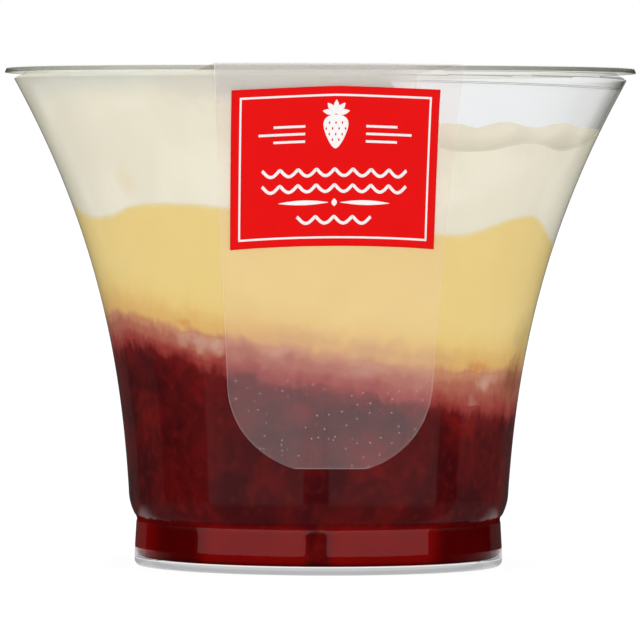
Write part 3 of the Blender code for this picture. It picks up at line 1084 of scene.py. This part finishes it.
def cream_surface(tree):
    where, below, above = layer_fields(tree, 0.0, CREAM_FRAY)
    cloud = ease(tree, noise(tree, where, 14 * MM, 3.0, 0.6), 0.35, 0.65)
    colour = mix_colour(tree, cloud, CREAM_SHADE, CREAM_COLOUR)
    mottle = ease(tree, noise(tree, where, 4 * MM, 3.0, 0.3), 0.55, 0.75)
    colour = mix_colour(tree, times(tree, mottle, 0.5), colour, CREAM_WARM)
    # Painted shade: greyer and darker high up at the front, under the flange.
    spot = add(tree, "SeparateXYZ", Vector=where).outputs
    high = plus(tree, spot["Z"], times(tree, cloud, MM))
    front = minus(tree, 1.0, ease(tree, spot["Y"], -20 * MM, 0.0))
    high = times(tree, ease(tree, high, 69.5 * MM, 74.5 * MM), front)
    colour = mix_colour(tree, high, colour, CREAM_FLANGE_SHADE)
    colour = spotted(tree, where, colour, CREAM_PATCHES)
    # Painted shade: the top face, and the edge just under it, darker.
    colour = mix_colour(tree, ease(tree, below, 0.0, 0.2), CREAM_TOP_SHADE, colour)
    colour = mix_colour(tree, ease(tree, above, -0.2, 0.7), CREAM_FOOT, colour)
    return matt(tree, colour, 0.55, 0.1, (1.0, 0.8, 0.5), grain(tree, where, 1.6 * MM, 4.0, 0.18))


dress(cream, "whipped_cream", cream_surface)

# %% [markdown]
# ### Custard
#
# Set custard is an even pale yellow that turns golden towards the fruit.  Its lowest
# millimetres have drunk juice, so they run through orange to the sponge's colour.

# %% Custard
CUSTARD_COLOUR = (0.90, 0.685, 0.275)
CUSTARD_SHADE = (0.88, 0.665, 0.262)
CUSTARD_GOLD = (0.83, 0.555, 0.185)
CUSTARD_STAINED = (0.77, 0.465, 0.165)


def custard_surface(tree):
    where, below, above = layer_fields(tree, CREAM_FRAY, SOAK_FRAY)
    cloud = ease(tree, noise(tree, where, 11 * MM, 2.0, 0.4), 0.3, 0.7)
    colour = mix_colour(tree, cloud, CUSTARD_SHADE, CUSTARD_COLOUR)
    colour = mix_colour(tree, ease(tree, above, 0.5, 8.0), CUSTARD_GOLD, colour)
    spots = ease(tree, noise(tree, where, 6 * MM, 2.0), 0.55, 0.68)
    near = minus(tree, 1.0, ease(tree, above, 0.2, 1.6))
    colour = mix_colour(tree, times(tree, spots, near), colour, STAIN_ORANGE)
    colour = mix_colour(tree, ease(tree, above, 0.6, 4.5), CUSTARD_STAINED, colour)
    colour = mix_colour(tree, ease(tree, above, -0.2, 1.4), SPONGE_PALE, colour)
    colour = spotted(tree, where, colour, JUICE_STAINS)
    colour = mix_colour(tree, ease(tree, below, -0.2, 0.7), CREAM_FOOT, colour)
    return matt(tree, colour, 0.35, 0.0, (1.0, 0.7, 0.3))


dress(custard, "set_custard", custard_surface)

# %% [markdown]
# ### Sponge
#
# The sponge has drunk the juice from below: pale tan at its top, pink in its middle,
# red at its foot, with a few crumbs at the wall that stayed dry and pale.

# %% Sponge
SPONGE_PINK = (0.46, 0.145, 0.095)
CRUMB = (0.64, 0.37, 0.29)
PALE_CRUMBS = [(-39, 34.7, 1.6, 1.0, 0.5), (-34, 34.1, 1.6, 1.3, 0.75),
               (-29, 33.7, 1.5, 1.2, 0.8), (53.5, 28.2, 1.7, 1.3, 0.75),
               (58.5, 28.6, 1.2, 0.9, 0.3), (49, 25.0, 1.2, 1.4, 0.3),
               (-12, 32.6, 2.0, 1.0, 0.35), (12, 30.2, 2.4, 1.0, 0.35),
               (110, 29.2, 4.0, 2.0, 0.6), (-140, 33.4, 4.0, 2.0, 0.7),
               (170, 31.6, 3.0, 2.0, 0.6)]


def sponge_surface(tree):
    where, below, above = layer_fields(tree, SOAK_FRAY, FRUIT_FRAY)
    depth = math_node(tree, "DIVIDE", below, plus(tree, below, above))
    colour = ramp(tree, depth, (0.0, SPONGE_PALE), (0.4, SPONGE_PINK), (1.0, SPONGE_RED))
    colour = spotted(tree, where, colour, [spot + (CRUMB,) for spot in PALE_CRUMBS])
    colour = spotted(tree, where, colour, JUICE_STAINS)
    return matt(tree, colour, 0.5, relief=grain(tree, where, 1.2 * MM, 3.0, 0.3))


dress(sponge, "soaked_sponge", sponge_surface)

# %% [markdown]
# ### Compote
#
# The compote is nearly black in depth, with soft pieces of fruit that are a clearer
# red where they press against the wall.  Low down, the band behind the foot has a
# painted red glow, for light that reaches it through the thick clear plate, with a
# narrow gap in the middle, and painted shade at both ends.

# %% Compote
FRUIT_TOP = (0.17, 0.010, 0.009)
FRUIT_BRIGHT = (0.30, 0.008, 0.006)
FRUIT_MID = (0.108, 0.0035, 0.0035)
FRUIT_DARK = (0.048, 0.002, 0.003)
# The next two are painted: a red glow and a shade for the band behind the foot.
FRUIT_PAINTED_GLOW = (0.27, 0.003, 0.002)
FRUIT_END_SHADE = (0.065, 0.0004, 0.0005)
FRUIT_FLECK = (0.26, 0.016, 0.011)
RIPE_PIECES = [(-37, 28.6, 6.0, 4.2, 0.25), (-58, 23.0, 3.6, 3.4, 0.4),
               (-4, 24.6, 3.6, 2.2, 0.35), (46, 22.2, 3.2, 2.6, 0.55),
               (14, 18.0, 4.4, 3.6, 0.35), (100, 20.0, 5.0, 3.6, 0.7),
               (155, 24.0, 5.6, 3.4, 0.7), (-120, 26.0, 5.0, 3.4, 0.7)]


def foot_band(tree, where, colour):
    """The compote's lowest millimetre: painted red glow behind the foot, painted shade at both
    sides.
    """
    spot = add(tree, "SeparateXYZ", Vector=where).outputs
    side = math_node(tree, "ABSOLUTE", spot["X"])
    foot = minus(tree, 1.0, ease(tree, spot["Z"], 6.2 * MM, 7.6 * MM))
    # Painted shade at both ends of the band.
    ends = times(tree, ease(tree, side, 14 * MM, 19 * MM), foot)
    colour = mix_colour(tree, times(tree, ends, 0.85), colour, FRUIT_END_SHADE)
    # Painted red glow, with a gap in the middle and none at the ends.
    front = minus(tree, ease(tree, side, 1.0 * MM, 2.6 * MM),
                  ease(tree, side, 15.5 * MM, 19 * MM))
    glow = times(tree, times(tree, front, foot), 0.6)
    colour = mix_colour(tree, glow, colour, FRUIT_PAINTED_GLOW)
    # Painted red glow at the left end as well.
    left = minus(tree, 1.0, ease(tree, spot["X"], -26.5 * MM, -22.5 * MM))
    left = times(tree, times(tree, left, foot), 0.55)
    return mix_colour(tree, left, colour, FRUIT_PAINTED_GLOW)


def compote_surface(tree):
    where, below, above = layer_fields(tree, FRUIT_FRAY, 0.0)
    pieces = streaky(tree, where, 7 * MM, 1.2, 2.5)
    colour = mix_colour(tree, ease(tree, pieces, 0.36, 0.62), FRUIT_DARK, FRUIT_MID)
    colour = spotted(tree, where, colour, [spot + (FRUIT_BRIGHT,) for spot in RIPE_PIECES])
    shreds = ease(tree, streaky(tree, where, 1.8 * MM, 1.2, 4.0), 0.35, 0.65)
    colour = mix_colour(tree, times(tree, shreds, 0.5), colour, FRUIT_DARK)
    fleck = ease(tree, noise(tree, where, 1.5 * MM, 4.0), 0.48, 0.72)
    colour = mix_colour(tree, times(tree, fleck, 0.16), colour, FRUIT_FLECK)
    near = minus(tree, 1.0, ease(tree, below, 0.0, 3.6))
    colour = mix_colour(tree, near, colour, FRUIT_TOP)
    colour = mix_colour(tree, ease(tree, below, -0.4, 1.8), SPONGE_RED, colour)
    return matt(tree, foot_band(tree, where, colour), 0.3)


dress(compote, "strawberry_compote", compote_surface)

# %% [markdown]
# ### Clear plastic
#
# The wall is thin and its two faces are parallel, so light passes almost straight
# through.  Real refraction through so many thin faces comes out noisy, so each face
# is a see-through tint with a gloss instead.  Both grow at a slant, where the eye
# looks through more plastic.  Faces that scatter light get a milky share as well.


# %% Clear and milky plastic
def see_through(tree, tint, tint_slant, gloss, gloss_slant, power=5.2):
    """A thin clear skin: a tint that deepens and a gloss that grows towards a slant.

    Both grow with a power of 1 - cos, so that they stay low until the wall turns away.
    """
    slant = add(tree, "LayerWeight", Blend=0.5).outputs["Facing"]
    deep = math_node(tree, "POWER", slant, power)
    see = add(tree, "BsdfTransparent", Color=mix_colour(tree, deep, tint, tint_slant))
    shine = add(tree, "BsdfGlossy", Roughness=0.03)
    share = add(tree, "MapRange", Value=deep, To_Min=gloss, To_Max=gloss_slant)
    return add(tree, "MixShader", a=share.outputs["Result"], b=see.outputs[0],
               c=shine.outputs[0]).outputs[0]


def glowing(tree, colour, roughness, gloss, glow):
    """A matt surface that also gives a little white light of its own."""
    shader = add(tree, "BsdfPrincipled", Base_Color=colour, Roughness=roughness)
    shader.inputs["Specular IOR Level"].default_value = gloss
    shader.inputs["Emission Color"].default_value = (1.0, 1.0, 1.0, 1.0)
    shader.inputs["Emission Strength"].default_value = glow
    return shader.outputs[0]


def milky(tree, surface, share, colour, glow=0.0):
    """A share of light that the plastic scatters instead of letting through.

    A little glow stands for light that has come through from behind.
    """
    haze = glowing(tree, colour, 0.4, 0.1, glow)
    return add(tree, "MixShader", a=share, b=surface, c=haze).outputs[0]


def clear(*look):
    """The surface function of a plain clear skin."""
    return lambda tree: see_through(tree, *look)


# %% [markdown]
# The thick plate under the food looks pale grey, with a painted white highlight line where it
# begins.
# The foot's rounded lower corner gets a painted white highlight that grows at a slant.

# %% Base plate and foot corner
PLATE_GREY = (0.54, 0.55, 0.56)
PLATE_HIGHLIGHT_LINE = (1.0, 0.98, 0.98)
CORNER_HIGHLIGHT = (0.97, 0.94, 0.95)


def base_surface(tree):
    surface = see_through(tree, (0.95, 0.955, 0.96), (0.6, 0.6, 0.6), 0.03, 0.30)
    where = add(tree, "TexCoord").outputs["Object"]
    height = add(tree, "SeparateXYZ", Vector=where).outputs["Z"]
    # Painted highlight: a white line at the top of the plate.
    white = ease(tree, height, FLOOR - 0.28 * MM, FLOOR - 0.12 * MM)
    return milky(tree, surface, 0.78, mix_colour(tree, white, PLATE_GREY, PLATE_HIGHLIGHT_LINE))


def foot_corner_surface(tree):
    surface = see_through(tree, (0.98, 0.98, 0.985), (0.9, 0.9, 0.9), 0.035, 0.25)
    # Painted highlight: a white share that grows towards a slant.
    slant = add(tree, "LayerWeight", Blend=0.5).outputs["Facing"]
    share = times(tree, math_node(tree, "POWER", slant, 7.0), 1.4)
    return milky(tree, surface, math_node(tree, "MINIMUM", share, 0.55), CORNER_HIGHLIGHT)


# %% [markdown]
# The flange's cut edge is seen through a lot of plastic, which shows a faint olive.
# Shade is painted into that tint by place: darker towards both ends, most at one
# side, and paler at the back.

# %% Cut edge
# Painted shade along the cut edge: darker towards both ends, most at +X.
OLIVE = [(0.0, (0.48, 0.50, 0.39)), (0.08, (0.48, 0.50, 0.39)), (0.20, (0.57, 0.56, 0.47)),
         (0.40, (0.55, 0.53, 0.46)), (0.66, (0.49, 0.475, 0.42)), (0.80, (0.37, 0.38, 0.32)),
         (0.93, (0.245, 0.25, 0.21)), (1.0, (0.23, 0.235, 0.21))]
OLIVE_BACK = (0.86, 0.87, 0.80)
OLIVE_SLANT = (0.16, 0.165, 0.15)


def cut_edge_surface(tree):
    spot = add(tree, "SeparateXYZ", Vector=add(tree, "TexCoord").outputs["Object"]).outputs
    across = add(tree, "MapRange", Value=spot["X"], From_Min=-RIM, From_Max=RIM)
    # Painted shade in the tint, set by the place across the pot.
    tint = ramp(tree, across.outputs["Result"], *OLIVE)
    # Painted paler towards the back.
    tint = mix_colour(tree, ease(tree, spot["Y"], -4 * MM, 12 * MM), tint, OLIVE_BACK)
    return see_through(tree, tint, OLIVE_SLANT, 0.04, 0.2, power=3.0)


# %% [markdown]
# The other four are plain clear skins.  The wall's outer face carries most of its
# tint at a slant, so the inner face stays paler.  The flange's two faces are only
# ever seen at a slant, and stay as clear as the wall.  The step's small corners bend
# light away, which is painted here as shade: a grey tint that reads as a thin line.

# %% The pot's seven finishes
WALL_LOOK = clear((0.978, 0.98, 0.98), (0.27, 0.27, 0.23), 0.035, 0.17)
INNER_LOOK = clear((0.978, 0.98, 0.985), (0.8, 0.8, 0.76), 0.035, 0.12)
RIM_LOOK = clear((0.985, 0.985, 0.98), (0.93, 0.93, 0.92), 0.02, 0.08)
# Painted shade: the step's corners tinted grey.
STEP_SHADE_LOOK = clear((0.50, 0.51, 0.52), (0.42, 0.42, 0.42), 0.1, 0.3)
for name, surface in (("thin_clear_plastic", WALL_LOOK), ("thick_base_plastic", base_surface),
                      ("rim_plastic", RIM_LOOK), ("cut_edge_plastic", cut_edge_surface),
                      ("step_corner_painted_shade", STEP_SHADE_LOOK),
                      ("foot_corner_plastic", foot_corner_surface),
                      ("inner_clear_plastic", INNER_LOOK)):
    dress(pot, name, surface)

# %% [markdown]
# The pot is one piece, so these finishes are shared out face by face, by where a
# face is and how it faces.  The order of the list above gives their numbers.


# %% Sharing out the pot's faces
def face_values(name):
    """One vector of every face of the pot, as its three columns."""
    values = np.empty(len(pot.data.polygons) * 3)
    pot.data.polygons.foreach_get(name, values)
    return values.reshape(-1, 3).T


def split_pot(hollow=24 * MM):
    """Give each face of the pot the number of its finish.

    Faces nearer the axis than hollow are floor, and as clear as the wall's inner face.
    Only the front of the step, and the flange's root at one side, get a painted grey shade line.
    """
    x, y, z = face_values("center")
    z = z - lift(x, z)
    tilt = np.abs(face_values("normal")[2])
    radius = np.hypot(x, y)
    flange = z > KNEE + 0.1 * MM
    edge = flange & (radius > RIM - 0.6 * MM) & (tilt < 0.9)
    step = (np.abs(z - STEP_HEIGHT) < 1.0 * MM) & (tilt > 0.6) & (radius < outside(z) - 0.15 * MM)
    # Painted shade: the flange's root at one side takes the step's grey tint too.
    root = ((np.abs(z - FLANGE_LOW + 0.06 * MM) < 0.06 * MM)
            & (np.abs(radius - FLANGE_ROOT) < 0.5 * MM) & (x > 18 * MM))
    step = (step | root) & (y < 0)
    ring = radius > hollow
    base = (z < FLOOR + 0.1 * MM) & ring
    corner = (z < FLOOR + CORNER) & ring & ~base & (radius > outside(z) - 0.1 * MM)
    inner = radius < outside(z) - 0.25 * MM
    kind = np.select([base, corner, edge, step, flange, inner], [1, 5, 3, 4, 2, 6], 0)
    pot.data.polygons.foreach_set("material_index", kind.astype(np.int32))
    print("faces of each finish:", np.bincount(kind))


split_pot()

# %% [markdown]
# ### Film and label strip
#
# The lidding film is almost invisible.  The strip has an even haze that turns greyer
# near the rim, a painted highlight along its cut edge, a grey share in its middle from
# just under the red field's top upwards, and a few specks low down.  Its haze glows a
# little, for light that comes through it from behind.

# %% Film and strip
STRIP_CLEAR = (1.0, 1.0, 1.0)
STRIP_GREY = (0.99, 0.97, 0.965)
HAZE_LOW = (0.97, 0.72, 0.74)
HAZE_HIGH = (0.80, 0.80, 0.78)
STRIP_TOP_GREY = (0.57, 0.56, 0.54)
EDGE_HIGHLIGHT_AND_SPECK = (0.97, 0.93, 0.93)
SPECK_CELL = 0.85 * MM                  # one speck or none in each cell of this size
SPECK_TOP = 36 * MM


def specks(tree, where, height):
    """1 in a small dot at the middle of about half the cells, below SPECK_TOP."""
    cells = add(tree, "TexVoronoi", Vector=where, Scale=1 / SPECK_CELL)
    pick = add(tree, "SeparateColor", a=cells.outputs["Color"]).outputs[0]
    dot = times(tree, math_node(tree, "LESS_THAN", cells.outputs["Distance"], 0.115),
                math_node(tree, "GREATER_THAN", pick, 0.5))
    return times(tree, dot, math_node(tree, "LESS_THAN", height, SPECK_TOP))


def strip_surface(tree):
    where = add(tree, "TexCoord").outputs["Object"]
    spot = add(tree, "SeparateXYZ", Vector=where).outputs
    high = ease(tree, spot["Z"], 58 * MM, 70 * MM)
    tint = mix_colour(tree, high, STRIP_CLEAR, STRIP_GREY)
    surface = see_through(tree, tint, (0.96, 0.96, 0.96), 0.01, 0.05)
    distance = add(tree, "Attribute", {"attribute_name": "from_edge"}).outputs["Fac"]
    # Painted highlight: the haze grows stronger and paler along the cut edge.
    edge = minus(tree, 1.0, ease(tree, distance, 0.02, 0.14))
    speck = specks(tree, where, spot["Z"])
    # A grey milky share in the middle, from 68 mm upwards.
    near_middle = minus(tree, 1.0, ease(tree, spot["X"], 9 * MM, 17.5 * MM))
    top_grey = times(tree, ease(tree, spot["Z"], 68 * MM, 71 * MM), near_middle)
    share = plus(tree, 0.042, times(tree, edge, 0.085))
    share = plus(tree, share, times(tree, speck, 0.24))
    share = plus(tree, share, times(tree, top_grey, 0.28))
    haze = mix_colour(tree, high, HAZE_LOW, HAZE_HIGH)
    haze = mix_colour(tree, top_grey, haze, STRIP_TOP_GREY)
    # The painted edge highlight and the specks share one pale colour.
    haze = mix_colour(tree, math_node(tree, "MAXIMUM", edge, speck), haze, EDGE_HIGHLIGHT_AND_SPECK)
    return milky(tree, surface, share, haze, glow=0.12)


dress(film, "lidding_film", clear((0.99, 0.99, 0.99), (0.97, 0.97, 0.965), 0.01, 0.04))
dress(strip, "label_film", strip_surface)

# %% [markdown]
# ### Inks
#
# Printed ink is a thin matt coat, a little uneven where it took less well.  Strip and
# print lie so close to the cream that their shadows would only add a dark fringe,
# which thin film on a bright table does not have, so they cast none.

# %% Inks
RED_INK = (0.79, 0.0055, 0.0055)
WHITE_INK = (0.93, 0.90, 0.89)


def ink(colour, roughness):
    """A surface function for one ink, up to 3 per cent deeper in patches."""
    def surface(tree):
        where = add(tree, "TexCoord").outputs["Object"]
        patchy = ease(tree, noise(tree, where, 6 * MM, 2.0), 0.3, 0.7)
        deeper = tuple(0.97 * part for part in colour)
        return matt(tree, mix_colour(tree, patchy, deeper, colour), roughness, 0.03)
    return surface


dress(seeds, "seed_ink", ink(RED_INK, 0.4))
dress(panel, "red_ink", ink(RED_INK, 0.4))
dress(white, "white_ink", ink(WHITE_INK, 0.45))
for piece in (strip, panel, white, seeds):
    piece.visible_shadow = False

# %% [markdown]
# ## Floor, light and camera
#
# The pot stands on a large pale floor that glows a little, as a light table does.
# Clear plastic looks clear only against something bright, and a glowing floor also
# keeps the pot's shadow faint.

# %% Floor
FLOOR_RADIUS = 8
FLOOR_COLOUR = (0.22, 0.22, 0.22)
FLOOR_GLOW = 0.83

disc = at(FLOOR_RADIUS, np.linspace(-np.pi, np.pi, 97)[1:], 0)
floor = fill_mesh("floor", disc, [np.arange(96)[None, :]])
dress(floor, "pale_floor", lambda tree: glowing(tree, FLOOR_COLOUR, 0.8, 0.0, FLOOR_GLOW))
floor.visible_glossy = False

# %% [markdown]
# Two wide soft boxes stand in front.  They leave a narrow dark gap between them,
# which shows in the foot band as it does in a studio.

# %% Soft boxes
BOX_AIM = 40 * MM
BOX_HEIGHT = 0.46
BOX_DISTANCE = 1.1
BOX_TALL = 1.0
BOX_RADIANCE = 0.68


def soft_box(name, azimuth, width):
    """A rectangular lamp that faces the pot.

    A lamp's power is its radiance times pi times its area.
    """
    lamp = bpy.data.lights.new(name, "AREA")
    lamp.shape = "RECTANGLE"
    lamp.size, lamp.size_y = width, BOX_TALL
    lamp.energy = BOX_RADIANCE * math.pi * width * BOX_TALL
    box = bpy.data.objects.new(name, lamp)
    bpy.context.scene.collection.objects.link(box)
    spot = at(BOX_DISTANCE, math.radians(azimuth), BOX_HEIGHT)
    box.location = spot
    aim = Vector((0, 0, BOX_AIM)) - Vector(spot)
    box.rotation_euler = aim.to_track_quat("-Z", "Y").to_euler()
    box.visible_camera = False
    print(f"{name}: {lamp.energy:.2f} W")


soft_box("box_left", -44.5, 1.85)
soft_box("box_right", 38.7, 1.66)

# %% [markdown]
# The rest of the room is a world that is white to the camera.  What the plastic
# reflects and the food is lit by is chosen by direction: bright overhead, behind and
# steeply below, and in front a little below the level two paler fields, as the soft
# boxes' reflections in the table would be.


# %% World
def between(tree, angle, low, high):
    """1 for an angle in radians between two in degrees, with edges two degrees soft."""
    rise = ease(tree, angle, math.radians(low - 1), math.radians(low + 1))
    fall = ease(tree, angle, math.radians(high - 1), math.radians(high + 1))
    return minus(tree, rise, fall)


def brightness(tree):
    """How bright the room is in a direction: the brightest of what is over, behind, below.

    Overhead it is 2.25 z^2.  The others are soft steps in height and azimuth.
    """
    way = add(tree, "SeparateXYZ", Vector=add(tree, "TexCoord").outputs["Generated"]).outputs
    up = math_node(tree, "MAXIMUM", way["Z"], 0.0)
    down = times(tree, way["Z"], -1.0)
    azimuth = math_node(tree, "ARCTAN2", way["X"], times(tree, way["Y"], -1.0))
    over = times(tree, times(tree, up, up), 2.25)
    behind = times(tree, ease(tree, way["Y"], 0.72, 0.78), 0.25)
    steep = times(tree, ease(tree, down, 0.19, 0.28), ease(tree, way["Y"], 0.6, 0.85))
    under = plus(tree, times(tree, ease(tree, down, 0.06, 0.3), 0.13), times(tree, steep, 1.5))
    boxes = plus(tree, between(tree, azimuth, -70, -9), between(tree, azimuth, 6, 76))
    low = minus(tree, ease(tree, way["Z"], -0.42, -0.10), ease(tree, way["Z"], -0.10, -0.06))
    table = times(tree, times(tree, boxes, low), 0.32)
    right = ease(tree, azimuth, math.radians(91), math.radians(94))
    left = minus(tree, 1.0, ease(tree, azimuth, math.radians(-109), math.radians(-106)))
    sides = plus(tree, times(tree, right, 1.7), left)
    sides = times(tree, times(tree, sides, ease(tree, down, 0.03, 0.08)), 0.10)
    below = plus(tree, plus(tree, under, table), sides)
    return math_node(tree, "MAXIMUM", math_node(tree, "MAXIMUM", over, behind), below)


room = bpy.data.worlds.new("studio")
room.use_nodes = True
tree = room.node_tree
tree.nodes.clear()
out = tree.nodes.new("ShaderNodeOutputWorld")
strength = add(tree, "Mix", {"data_type": "FLOAT"})
put(tree, strength.inputs[0], add(tree, "LightPath").outputs["Is Camera Ray"])
put(tree, strength.inputs[2], brightness(tree))
put(tree, strength.inputs[3], 1.0)
light = add(tree, "Background", Color=(1.0, 1.0, 1.0), Strength=strength.outputs[0])
tree.links.new(light.outputs[0], out.inputs[0])
bpy.context.scene.world = room
print("world:", len(tree.nodes), "nodes")

# %% [markdown]
# A long lens from almost a metre away keeps the pot's sides straight.  It looks from
# the height of the upper half and is tilted down a little.  Each clear face uses up
# one step of a ray's see-through allowance, and a ray here can meet more than a
# dozen of them, so the allowance is raised.

# %% Camera
LENS = 354.3
CAMERA_SIDE = 0.1 * MM
CAMERA_BACK = 950 * MM
CAMERA_HEIGHT = 58.8 * MM
CAMERA_AIM = 36.9 * MM
CAMERA_ROLL = 0.25                      # degrees, as held by hand

lens = bpy.data.cameras.new("camera")
lens.lens = LENS
lens.sensor_width = 36
lens.clip_start = 0.05
eye = bpy.data.objects.new("camera", lens)
bpy.context.scene.collection.objects.link(eye)
eye.location = (CAMERA_SIDE, -CAMERA_BACK, CAMERA_HEIGHT)
aim = Vector((CAMERA_SIDE, 0, CAMERA_AIM)) - eye.location
eye.rotation_euler = aim.to_track_quat("-Z", "Y").to_euler()
eye.rotation_euler.rotate_axis("Z", math.radians(CAMERA_ROLL))
bpy.context.scene.camera = eye
bpy.context.scene.view_settings.view_transform = "Standard"
bpy.context.scene.cycles.transparent_max_bounces = 32
print(f"camera {CAMERA_BACK:.2f} m away, {LENS:.0f} mm lens")

# %% [markdown]
# ## Hand over
#
# Each piece rides on the pot's one body and stands for its CAD node, which is hidden.

# %% Ride and replace
for piece, node, slot in ((pot, "cup", "clear_plastic"), (compote, "compote", "compote"),
                          (sponge, "sponge", "sponge"), (custard, "custard", "custard"),
                          (cream, "cream", "cream"), (film, "lid_film", "clear_film"),
                          (strip, "label_strip", "label_film"),
                          (panel, "label_panel", "label_print")):
    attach(piece, "root")
    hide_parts(node)
for piece in (white, seeds):
    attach(piece, "root")
